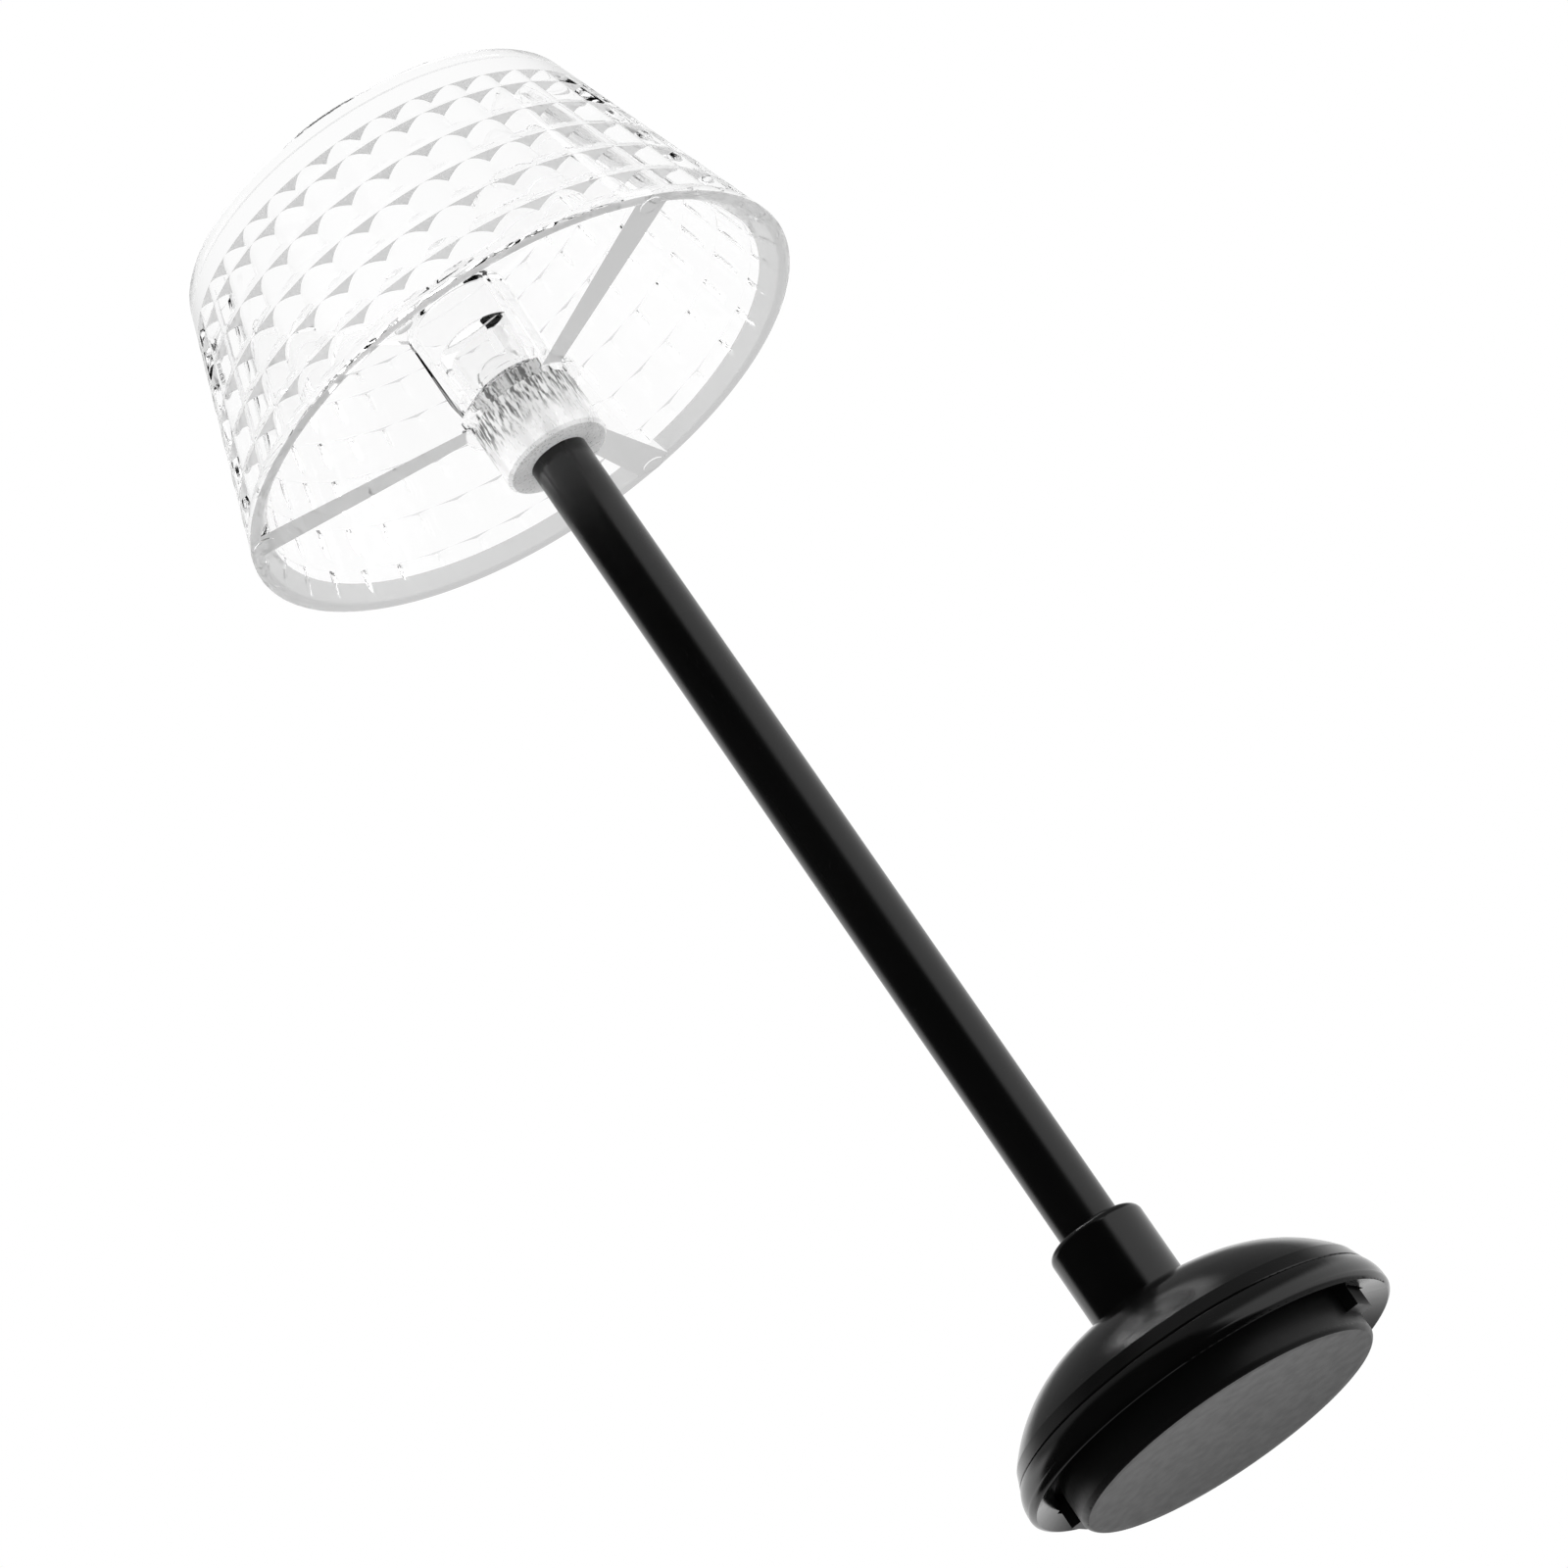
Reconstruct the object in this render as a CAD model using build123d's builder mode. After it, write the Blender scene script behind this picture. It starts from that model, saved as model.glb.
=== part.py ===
"""Small battery table lamp: clear faceted shade, black post, domed base with a press button under it.

Millimetres, +Z up. The button's face, which the lamp stands on, is at z = 0 and the post is on the Z axis.
The shade's open large end looks down.
"""
from build123d import *
from math import atan2, cos, degrees, hypot, radians, sin
import os

# ---- driving dimensions ----
# press button under the base
button_radius = 16.6
button_plate = 1.6        # thickness of its face
button_wall = 1.2
button_dish = 0.35        # hollow of the face
button_edge = 1.2         # from the drum's side to the hollow of the face
foot_inset = 0.45         # from the drum's side to the flat edge that the lamp stands on
button_round = 0.6        # height of the corner outside that edge, which starts crisp
flange_gauge = 1.07
press_travel = 1.3
lug_reach = 1.35          # flange and guide lugs stand this far out of the drum
lug_width = 4.0
lug_bottom = 1.7
lug_azimuths = (-15.0, 165.0)
stem_radius = 1.3

# bottom ring
opening_gap = 0.85        # round the drum
ring_bottom = 3.0
ring_height = 3.1         # up to the parting line
ring_bulge = 1.7          # widest part, outside the ring's bore
lip_rise = 0.95           # opening's edge above the ring's lowest line
lip_gauge = 0.8
groove_depth = 0.45       # round the lip, for the dome's spigot
twist_angle = 25.0        # bayonet turn that frees the ring
peg_radius = 0.45
peg_rise = 0.95           # peg above the lower end of the dome's spigot
peg_azimuths = (30.0, 150.0, 270.0)

# dome and boss
shell_wall = 1.4
skirt_wall = 1.07
skirt_draft = 0.65
skirt_height = 1.6
seam_round = 0.15         # both edges of the parting line
spigot_wall = 0.65
crown_share = 0.633       # where the dome's middle point lies between boss and crease
crown_drop = 2.1          # and how far it is below the dome's top
boss_wall = 1.93
boss_height = 9.6

# post, collar and neck
post_radius = 3.22
post_wall = 0.6
post_top = 130.5
collar_wall = 2.68
collar_length = 6.9
collar_above_post = 0.4
neck_wall = 1.48          # spigot that the shade's hub drops over
neck_height = 2.6

# shade
shade_height = 28.6
shade_radius = 32.5       # large end
shade_top_radius = 23.5
shade_wall = 2.4          # across a row of facets
rim_land = 1.4            # flat face of each end
facet_count = 36
facet_first = 4.0         # azimuth of one valley
facet_depth = 1.1
facet_share = 0.94        # of the pitch that a valley takes
facet_rows = (1.0, 4.4, 8.9, 13.3, 17.6, 21.8, 24.2)    # row edges above the large end
fin_azimuths = (-45.0, 75.0, 195.0)
fin_foot = 4.2            # fin's thickness at its lower edge, at the wall
fin_root = 2.5            # and at the hub
fin_tip = 0.6             # at its highest point
fin_wall_rise = 23.5      # height of the fin at the wall
fin_hub_rise = 12.5       # and at the hub
hub_foot_wall = 1.02
hub_flare = 0.5           # hub widens this much
hub_flare_height = 4.5
hub_height = 14.4
hub_wall = 1.0
hub_flange_reach = 1.2
hub_flange = 1.3

# light
diffuser_height = 6.8
diffuser_wall = 1.2
diffuser_tail = 1.0
led_radius = 2.5
led_rim_radius = 2.9
led_rim = 1.0
led_height = 6.2
lead_radius = 0.25
lead_spacing = 2.54
lead_length = 7.3
holder_plug = 3.0
holder_flange = 0.8
wire_radius = 0.45

# cells, tray, door and strips
cell_radius = 5.8         # LR44
cell_height = 5.4
cell_rim = 0.35           # step round the negative face
cell_azimuths = (90.0, 210.0, 330.0)
pocket_wall = 0.5
door_gauge = 0.5
door_peg = 2.6
contact_gauge = 0.25
contact_width = 4.0
riser_gauge = 0.4
riser_width = 2.0
tray_plate = 0.7
screw_azimuths = (30.0, 150.0, 270.0)
screw_well_radius = 2.0
screw_head_radius = 1.6
screw_head = 0.9
screw_shank_radius = 0.9
screw_length = 2.6
screw_boss_wall = 1.1

# switch, board and spring
spring_wire = 0.4
spring_turns = 7
plunger_radius = 1.0
switch_side = 6.0
switch_height = 1.8
board_radius = 6.8
board_gauge = 0.6
board_pad_radius = 0.8
resistor_size = (1.6, 3.2, 0.6)
resistor_azimuth = 180.0

# ---- fits ----
slide_gap = 0.08          # neck in hub
turn_gap = 0.08           # dome's spigot in the ring
touch_gap = 0.02          # faces that only meet
side_gap = 0.35           # tray inside the drum
pocket_gap = 0.15         # cell in its pocket
lift_gap = 0.2            # above the button when it is pressed

# ---- places worked out from them, from the button's face up ----
opening_radius = button_radius + opening_gap
flange_radius = button_radius + lug_reach
spigot_inner = flange_radius + 0.2
spigot_outer = spigot_inner + spigot_wall
ring_inner = spigot_outer + turn_gap
ring_radius = ring_inner + ring_bulge
ring_top = ring_bottom + ring_height
lip_top = ring_bottom + lip_rise + lip_gauge
flange_bottom = lip_top + touch_gap
button_height = flange_bottom + flange_gauge
groove_bottom = lip_top - groove_depth
spigot_bottom = groove_bottom + 0.1
peg_height = spigot_bottom + peg_rise
skirt_radius = ring_inner + skirt_wall
crease_radius = skirt_radius - skirt_draft
crease_height = ring_top + skirt_height

door_bottom = button_plate + press_travel + lift_gap
door_top = door_bottom + door_gauge
cell_bottom = door_top + contact_gauge
cell_top = cell_bottom + cell_height
tray_ceiling = cell_top + contact_gauge
tray_top = tray_ceiling + tray_plate
board_bottom = tray_top + switch_height
board_top = board_bottom + board_gauge
ceiling = board_top + 0.4
dome_height = ceiling + shell_wall
post_seat = ceiling + 0.9
boss_radius = post_radius + boss_wall
boss_top = dome_height + boss_height

crown_radius = boss_radius + crown_share * (crease_radius - boss_radius)
tray_radius = min(button_radius - button_wall - side_gap, crown_radius + 0.9)    # under the dome too
pocket_radius = cell_radius + pocket_gap
cell_pitch_radius = tray_radius - pocket_wall - pocket_radius
screw_pitch_radius = tray_radius - screw_well_radius - 0.85
riser_radius = board_radius - 1.2
resistor_place = (switch_side / 2 + board_radius) / 2
stem_top = tray_top - press_travel - 0.1
spring_mean_radius = stem_radius + 0.3 + spring_wire / 2
tube_radius = spring_mean_radius + spring_wire / 2 + 0.2

post_inner = post_radius - post_wall
collar_radius = post_radius + collar_wall
collar_top = post_top + collar_above_post
collar_bottom = collar_top - collar_length
neck_radius = post_radius + neck_wall
neck_top = collar_top + neck_height
led_seat = post_top + holder_flange
lead_bottom = led_seat - lead_length
diffuser_top = neck_top + diffuser_height
shade_bottom = collar_top + 0.1
shade_top = shade_bottom + shade_height
shade_slope = (shade_top_radius - shade_radius) / shade_height
row_edges = [shade_bottom + rise for rise in facet_rows]
hub_foot_radius = neck_radius + slide_gap + hub_foot_wall
hub_radius = hub_foot_radius + hub_flare
hub_flange_radius = hub_foot_radius + hub_flange_reach


def shade_outer(z):
    return shade_radius + shade_slope * (z - shade_bottom)


def at(azimuth, radius, z=0.0):
    return (radius * cos(radians(azimuth)), radius * sin(radians(azimuth)), z)


def outward_plane(azimuth, radius, z):
    """Plane at this azimuth whose normal looks out along the radius and whose local y is up."""
    return Plane(
        origin=at(azimuth, radius, z),
        x_dir=(-sin(radians(azimuth)), cos(radians(azimuth)), 0),
        z_dir=(cos(radians(azimuth)), sin(radians(azimuth)), 0),
    )


def radial_plane(azimuth=0.0):
    """Vertical plane through the axis: local x is the radius and local y is the height."""
    c, s = cos(radians(azimuth)), sin(radians(azimuth))
    return Plane(origin=(0, 0, 0), x_dir=(c, s, 0), z_dir=(s, -c, 0))


def on_circle(azimuths, radius):
    return [at(azimuth, radius)[:2] for azimuth in azimuths]


# ---- shade: wall, three fins and hub in one clear moulding ----
def facet_notch(low, high):
    """Cutter for one valley: deepest at the row's upper edge, running out near the lower one."""
    edge = shade_outer(high)
    spread = edge * radians(180 / facet_count) * facet_share
    clear = 0.05    # how far the cutter stands out of the cone, short of its neighbours
    beyond = spread * (1 + clear / facet_depth)
    apex_z = low + 0.08 * (high - low)
    with BuildSketch(Plane.XY.offset(high)) as section:
        Polygon((edge - facet_depth, 0), (edge + clear, beyond), (edge + clear, -beyond), align=None)
    return loft([section.sketch.face(), Vertex(shade_outer(apex_z), 0, apex_z)])


def fin(azimuth):
    """Blade from the hub to the wall: flat sides, thinner upwards and towards the hub."""
    start = hub_foot_radius - 0.3
    hub_inside = hub_radius - hub_wall / 2
    top = shade_bottom + fin_wall_rise
    reach = shade_outer(top) - shade_wall / 2 - 0.1
    widen = (fin_foot - fin_root) / 2 / (shade_radius - start)
    draft = (fin_root / 2 + widen * (reach - start) - fin_tip / 2) / fin_wall_rise
    climb = (fin_wall_rise - fin_hub_rise) / (reach - hub_inside)

    with BuildPart() as blade:
        for radius in (start, shade_radius):
            foot = fin_root / 2 + widen * (radius - start)
            rise = fin_hub_rise + climb * (radius - hub_inside) + 0.4
            with BuildSketch(outward_plane(azimuth, radius, shade_bottom)):
                Polygon(
                    (-foot, 0), (foot, 0), (foot - draft * rise, rise), (draft * rise - foot, rise),
                    align=None,
                )
        loft()
        with BuildSketch(radial_plane(azimuth)):
            Polygon(
                (start, shade_bottom),
                (shade_outer(shade_bottom) - rim_land + 0.1, shade_bottom),
                (shade_outer(shade_bottom + 3) - shade_wall / 2 - 0.1, shade_bottom + 3),
                (reach, top),
                (hub_inside, shade_bottom + fin_hub_rise),
                align=None,
            )
        extrude(amount=fin_foot, both=True, mode=Mode.INTERSECT)
    return blade.part


notches = [facet_notch(low, high) for low, high in zip(row_edges[:-1], row_edges[1:])]
fins = [fin(azimuth) for azimuth in fin_azimuths]

with BuildPart() as shade:
    with BuildSketch(radial_plane(facet_first + 180 / facet_count)):
        Polygon(
            (shade_radius - rim_land, shade_bottom),
            (shade_radius, shade_bottom),
            (shade_top_radius, shade_top),
            (shade_top_radius - rim_land, shade_top),
            (shade_outer(row_edges[-1]) - shade_wall, row_edges[-1] + 0.4),
            (shade_outer(row_edges[0]) - shade_wall, row_edges[0] + 0.6),
            align=None,
        )
    revolve(axis=Axis.Z)
    for notch in notches:
        with Locations(Location((0, 0, 0), (0, 0, facet_first))):
            with PolarLocations(0, facet_count):
                add(notch, mode=Mode.SUBTRACT)
    add(fins)
    with BuildSketch(radial_plane()):
        Polygon(
            (0, shade_bottom),
            (hub_flange_radius, shade_bottom),
            (hub_flange_radius, shade_bottom + hub_flange),
            (hub_foot_radius, shade_bottom + hub_flange),
            (hub_radius, shade_bottom + hub_flare_height),
            (hub_radius, shade_bottom + hub_height),
            (0, shade_bottom + hub_height),
            align=None,
        )
    revolve(axis=Axis.Z)
    fillet(shade.edges().filter_by(GeomType.CIRCLE).filter_by_position(
        Axis.Z, shade_bottom + hub_height - 0.01, shade_bottom + hub_height + 0.01), radius=1.2)
    with BuildSketch(radial_plane()):
        Polygon(
            (0, shade_bottom),
            (neck_radius + slide_gap, shade_bottom),
            (neck_radius + slide_gap, neck_top + 0.5),
            (hub_radius - hub_wall, neck_top + 1.2),
            (hub_radius - hub_wall, shade_bottom + hub_height - hub_wall),
            (0, shade_bottom + hub_height - hub_wall),
            align=None,
        )
    revolve(axis=Axis.Z, mode=Mode.SUBTRACT)

# ---- neck collar: frosted sleeve on the top of the post ----
with BuildPart() as neck_collar:
    with BuildSketch(radial_plane()):
        Polygon(
            (post_radius + touch_gap, collar_bottom),
            (collar_radius, collar_bottom),
            (collar_radius, collar_top),
            (neck_radius, collar_top),
            (neck_radius, neck_top),
            (neck_radius - 0.6, neck_top),
            (neck_radius - 0.6, neck_top - diffuser_tail),
            (post_radius + touch_gap, neck_top - diffuser_tail),
            align=None,
        )
    revolve(axis=Axis.Z)
    chamfer(neck_collar.edges().filter_by(GeomType.CIRCLE).group_by(Axis.Z)[0].sort_by(
        SortBy.RADIUS)[-1], length=0.35)

# ---- post: tube from the boss to the collar ----
with BuildPart() as post_tube:
    with BuildSketch(Plane.XY.offset(post_seat)):
        Circle(post_radius)
        Circle(post_inner, mode=Mode.SUBTRACT)
    extrude(amount=post_top - post_seat)

# ---- light: holder, LED with two leads, and the clear cap over it ----
lead_places = [(-lead_spacing / 2, 0), (lead_spacing / 2, 0)]
with BuildPart() as led_holder:
    with BuildSketch(Plane.XY.offset(post_top - holder_plug)):
        Circle(post_inner - touch_gap)
    extrude(amount=holder_plug)
    with BuildSketch(Plane.XY.offset(post_top)):
        Circle(post_radius - touch_gap)
    extrude(amount=holder_flange)
    with BuildSketch(Plane.XY.offset(post_top - holder_plug)):
        with Locations(*lead_places):
            Circle(lead_radius + touch_gap)
    extrude(amount=holder_plug + holder_flange, mode=Mode.SUBTRACT)

with BuildPart() as led:
    with BuildSketch(Plane.XY.offset(led_seat)):
        Circle(led_rim_radius)
    extrude(amount=led_rim)
    with BuildSketch(radial_plane()):
        with BuildLine():
            dome_start = led_seat + led_height - led_radius
            Line((0, led_seat), (led_radius, led_seat))
            Line((led_radius, led_seat), (led_radius, dome_start))
            ThreePointArc(
                (led_radius, dome_start),
                (led_radius * cos(radians(45)), dome_start + led_radius * sin(radians(45))),
                (0, led_seat + led_height),
            )
            Line((0, led_seat + led_height), (0, led_seat))
        make_face()
    revolve(axis=Axis.Z)

with BuildPart() as led_leads:
    with BuildSketch(Plane.XY.offset(lead_bottom)):
        with Locations(*lead_places):
            Circle(lead_radius)
    extrude(amount=led_seat - lead_bottom)

with BuildPart() as led_diffuser:
    tail_radius = neck_radius - 0.6 - touch_gap
    inside = post_radius + 0.15
    with BuildSketch(radial_plane()):
        Polygon(
            (inside, neck_top - diffuser_tail),
            (tail_radius, neck_top - diffuser_tail),
            (tail_radius, neck_top),
            (neck_radius, neck_top),
            (neck_radius, diffuser_top),
            (0, diffuser_top),
            (0, diffuser_top - diffuser_wall),
            (inside, diffuser_top - diffuser_wall),
            align=None,
        )
    revolve(axis=Axis.Z)
    fillet(led_diffuser.edges().filter_by(GeomType.CIRCLE).group_by(Axis.Z)[-1], radius=0.6)

# ---- wires in the post, from the board to the leads ----
with BuildPart() as wire_red:
    with BuildSketch(Plane.XY.offset(board_top)):
        with Locations(lead_places[1]):
            Circle(wire_radius)
    extrude(amount=lead_bottom - board_top)

with BuildPart() as wire_black:
    with BuildSketch(Plane.XY.offset(board_top)):
        with Locations(lead_places[0]):
            Circle(wire_radius)
    extrude(amount=lead_bottom - board_top)

# ---- base shell: boss, dome, and the spigot that the ring turns on ----
screw_places = on_circle(screw_azimuths, screw_pitch_radius)
with BuildPart() as base_shell:
    with BuildSketch(radial_plane()):
        with BuildLine():
            crown_height = dome_height - crown_drop
            inner_top = (board_radius + 1.2, ceiling)
            inner_foot = (spigot_inner, crease_height - 0.2)
            Polyline((0, boss_top), (boss_radius, boss_top), (boss_radius, dome_height))
            ThreePointArc(
                (boss_radius, dome_height), (crown_radius, crown_height),
                (crease_radius, crease_height),
            )
            Polyline(
                (crease_radius, crease_height), (skirt_radius, ring_top), (spigot_outer, ring_top),
                (spigot_outer, spigot_bottom), (spigot_inner, spigot_bottom), inner_foot,
            )
            ThreePointArc(
                inner_foot, (crown_radius - 0.6, crown_height - shell_wall + 0.25), inner_top,
            )
            Polyline(inner_top, (0, ceiling), (0, boss_top))
        make_face()
    revolve(axis=Axis.Z)
    fillet(base_shell.edges().filter_by(GeomType.CIRCLE).group_by(Axis.Z)[-1], radius=0.9)
    fillet(base_shell.edges().filter_by(GeomType.CIRCLE).filter_by_position(
        Axis.Z, dome_height - 0.01, dome_height + 0.01), radius=0.7)
    fillet(base_shell.edges().filter_by(GeomType.CIRCLE).filter_by_position(
        Axis.Z, ring_top - 0.01, ring_top + 0.01).sort_by(SortBy.RADIUS)[-1], radius=seam_round)
    with BuildSketch(Plane.XY.offset(tray_top)):
        with Locations(*screw_places):
            Circle(screw_shank_radius + screw_boss_wall)
    extrude(until=Until.NEXT)
    with BuildSketch(Plane.XY.offset(board_top)):
        with Locations(*on_circle(cell_azimuths, riser_radius)):
            Circle(board_pad_radius)
    extrude(amount=ceiling - board_top + 0.2)
    with BuildSketch(Plane.XY.offset(tray_top)):
        with Locations(*screw_places):
            Circle(screw_shank_radius + touch_gap)
    extrude(amount=screw_length - tray_plate + 0.2, mode=Mode.SUBTRACT)
    with BuildSketch(Plane.XY.offset(post_seat)):
        Circle(post_radius + touch_gap)
    extrude(amount=boss_top - post_seat, mode=Mode.SUBTRACT)
    with BuildSketch(Plane.XY.offset(ceiling - 0.1)):
        Circle(post_inner - 0.3)
    extrude(amount=post_seat - ceiling + 0.2, mode=Mode.SUBTRACT)
    slot = 2 * (peg_radius + 0.1)
    margin = 2.2
    for azimuth in peg_azimuths:
        with BuildSketch(radial_plane(azimuth - margin)):
            with Locations(((spigot_inner + spigot_outer) / 2, peg_height)):
                Rectangle(spigot_wall + 0.4, slot)
        revolve(axis=Axis.Z, revolution_arc=twist_angle + 2 * margin, mode=Mode.SUBTRACT)
        with BuildSketch(radial_plane(azimuth + twist_angle - margin)):
            with Locations(((spigot_inner + spigot_outer) / 2, (peg_height + spigot_bottom) / 2)):
                Rectangle(spigot_wall + 0.4, peg_height - spigot_bottom + 0.2)
        revolve(axis=Axis.Z, revolution_arc=2 * margin, mode=Mode.SUBTRACT)

# ---- bottom ring: twists off the dome; its lip keeps the button in ----
with BuildPart() as bottom_ring:
    with BuildSketch(radial_plane()):
        with BuildLine():
            shoulder = (skirt_radius, ring_top - touch_gap)
            widest = (ring_radius, ring_bottom + 0.8)
            sole = (ring_radius - 0.5, ring_bottom)
            lip_back = spigot_inner - 0.07
            Polyline(
                sole, (opening_radius, ring_bottom + lip_rise), (opening_radius, lip_top),
                (lip_back, lip_top), (lip_back, groove_bottom), (ring_inner, groove_bottom),
                (ring_inner, ring_top - touch_gap), shoulder,
            )
            ThreePointArc(
                shoulder, ((skirt_radius + ring_radius) / 2 + 0.15, ring_bottom + 2.1), widest,
            )
            ThreePointArc(widest, (ring_radius - 0.14, ring_bottom + 0.23), sole)
        make_face()
    revolve(axis=Axis.Z)
    fillet(bottom_ring.edges().filter_by(GeomType.CIRCLE).group_by(Axis.Z)[-1].sort_by(
        SortBy.RADIUS)[-1], radius=seam_round)
    for azimuth in lug_azimuths:
        with BuildSketch(outward_plane(azimuth, opening_radius - 1, ring_bottom)):
            Rectangle(lug_width + 0.6, 2 * (lip_rise + lip_gauge) + 0.1)
        extrude(amount=flange_radius + 0.2 - opening_radius + 1, mode=Mode.SUBTRACT)
    for azimuth in peg_azimuths:
        with BuildSketch(outward_plane(azimuth, spigot_inner + 0.05, peg_height)):
            Circle(peg_radius)
        extrude(amount=ring_inner - spigot_inner + 0.3)

# ---- press button: dished drum with a flange, two guide lugs and a stem ----
with BuildPart() as press_button:
    with BuildSketch(radial_plane()):
        with BuildLine():
            Line((button_radius - button_edge, 0), (button_radius - foot_inset, 0))
            ThreePointArc(
                (button_radius - foot_inset, 0),
                (button_radius - 0.34 * foot_inset, 0.41 * button_round),
                (button_radius, button_round),
            )
            Polyline(
                (button_radius, button_round), (button_radius, flange_bottom),
                (flange_radius, flange_bottom), (flange_radius, button_height),
                (button_radius - button_wall, button_height),
                (button_radius - button_wall, button_plate),
                (stem_radius, button_plate), (stem_radius, stem_top), (0, stem_top),
                (0, button_dish),
            )
            ThreePointArc(
                (0, button_dish), (button_radius / 2, button_dish * 0.72),
                (button_radius - button_edge, 0),
            )
        make_face()
    revolve(axis=Axis.Z)
    for azimuth in lug_azimuths:
        with BuildSketch(outward_plane(azimuth, button_radius - 0.6, lug_bottom)):
            Rectangle(lug_width, flange_bottom - lug_bottom + 0.3, align=(Align.CENTER, Align.MIN))
        extrude(amount=lug_reach + 0.5)

# ---- return spring round the stem, between the button and the tray ----
with BuildPart() as return_spring:
    spring_bottom = button_plate + spring_wire / 2 + touch_gap
    spring_length = tray_ceiling - button_plate - spring_wire - 2 * touch_gap
    with BuildLine():
        Helix(spring_length / spring_turns, spring_length, spring_mean_radius,
              center=(0, 0, spring_bottom))
    with BuildSketch(Plane(origin=(spring_mean_radius, 0, spring_bottom), z_dir=(0, 1, 0))):
        Circle(spring_wire / 2)
    sweep(is_frenet=True)

# ---- battery tray screwed up under the dome, and the door that closes it ----
cell_places = on_circle(cell_azimuths, cell_pitch_radius)
riser_azimuths = (cell_azimuths[0], screw_azimuths[0])
riser_places = on_circle(riser_azimuths, riser_radius)


def strip(first, second, width=contact_width):
    """Adds a round-ended strip between two points to the open sketch."""
    run, rise = second[0] - first[0], second[1] - first[1]
    middle = ((first[0] + second[0]) / 2, (first[1] + second[1]) / 2)
    with Locations(Location((*middle, 0), (0, 0, degrees(atan2(rise, run))))):
        SlotCenterToCenter(hypot(run, rise), width)


def riser(azimuth, thick, wide):
    """Adds a riser's cross-section to the open sketch."""
    with Locations(Location((*at(azimuth, riser_radius)[:2], 0), (0, 0, azimuth))):
        Rectangle(thick, wide)


with BuildPart() as battery_tray:
    with BuildSketch(Plane.XY.offset(cell_bottom)):
        Circle(tray_radius)
    extrude(amount=tray_top - cell_bottom)
    with BuildSketch(Plane.XY.offset(cell_bottom)):
        with Locations(*cell_places):
            Circle(pocket_radius)
        with Locations(*screw_places):
            Circle(screw_well_radius)
        Circle(tube_radius)
        riser(riser_azimuths[1], 1.4, 2.6)
    extrude(amount=tray_ceiling - cell_bottom, mode=Mode.SUBTRACT)
    with BuildSketch(Plane.XY.offset(cell_top)):
        strip(cell_places[1], cell_places[2], contact_width + pocket_gap)
        strip(cell_places[0], riser_places[0], contact_width + pocket_gap)
    extrude(amount=contact_gauge, mode=Mode.SUBTRACT)
    with BuildSketch(Plane.XY.offset(tray_ceiling)):
        Circle(stem_radius + 0.12)
        with Locations(*screw_places):
            Circle(screw_shank_radius + 0.1)
        for azimuth in riser_azimuths:
            riser(azimuth, riser_gauge + 0.2, riser_width + 0.2)
    extrude(amount=tray_plate, mode=Mode.SUBTRACT)

with BuildPart() as battery_door:
    with BuildSketch(Plane.XY.offset(door_bottom)):
        Circle(tray_radius - 0.1)
        Circle(tube_radius, mode=Mode.SUBTRACT)
    extrude(amount=door_gauge)
    with BuildSketch(Plane.XY.offset(door_top)):
        Circle(tray_radius - 0.1)
        Circle(tray_radius - 0.45, mode=Mode.SUBTRACT)
    extrude(amount=contact_gauge)
    with BuildSketch(Plane.XY.offset(door_top)):
        with Locations(*screw_places):
            Circle(screw_well_radius - touch_gap)
            Circle(screw_well_radius - 0.6, mode=Mode.SUBTRACT)
    extrude(amount=door_peg)

with BuildPart() as tray_screws:
    with BuildSketch(Plane.XY.offset(tray_ceiling - screw_head)):
        with Locations(*screw_places):
            Circle(screw_head_radius)
    extrude(amount=screw_head)
    with BuildSketch(Plane.XY.offset(tray_ceiling)):
        with Locations(*screw_places):
            Circle(screw_shank_radius)
    extrude(amount=screw_length)
    with BuildSketch(Plane.XY.offset(tray_ceiling - screw_head)):
        with Locations(*screw_places):
            Rectangle(1.8, 0.4)
            Rectangle(0.4, 1.8)
    extrude(amount=0.5, mode=Mode.SUBTRACT)


# ---- three button cells in series, and the strips that join them ----
def button_cell(place):
    """LR44 with its stepped negative face downwards."""
    with BuildPart() as cell:
        with BuildSketch(Plane.XY.offset(cell_bottom)):
            with Locations(place):
                Circle(cell_radius - 0.9)
        extrude(amount=cell_rim)
        with BuildSketch(Plane.XY.offset(cell_bottom + cell_rim)):
            with Locations(place):
                Circle(cell_radius)
        extrude(amount=cell_height - cell_rim)
        fillet(cell.edges().filter_by(GeomType.CIRCLE).group_by(Axis.Z)[-1], radius=0.4)
    return cell.part


cells = {f"button_cell_{n + 1}": button_cell(place) for n, place in enumerate(cell_places)}

with BuildPart() as link_top:
    with BuildSketch(Plane.XY.offset(cell_top)):
        strip(cell_places[1], cell_places[2])
    extrude(amount=contact_gauge)

with BuildPart() as link_bottom:
    with BuildSketch(Plane.XY.offset(door_top)):
        strip(cell_places[0], cell_places[1])
    extrude(amount=contact_gauge)

with BuildPart() as contact_positive:
    with BuildSketch(Plane.XY.offset(cell_top)):
        strip(cell_places[0], riser_places[0])
    extrude(amount=contact_gauge)
    with BuildSketch(Plane.XY.offset(cell_top)):
        riser(riser_azimuths[0], riser_gauge, riser_width)
    extrude(amount=board_bottom - cell_top)

with BuildPart() as contact_negative:
    with BuildSketch(Plane.XY.offset(door_top)):
        strip(cell_places[2], riser_places[1])
    extrude(amount=contact_gauge)
    with BuildSketch(Plane.XY.offset(door_top)):
        riser(riser_azimuths[1], riser_gauge, riser_width)
    extrude(amount=board_bottom - door_top)

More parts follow.
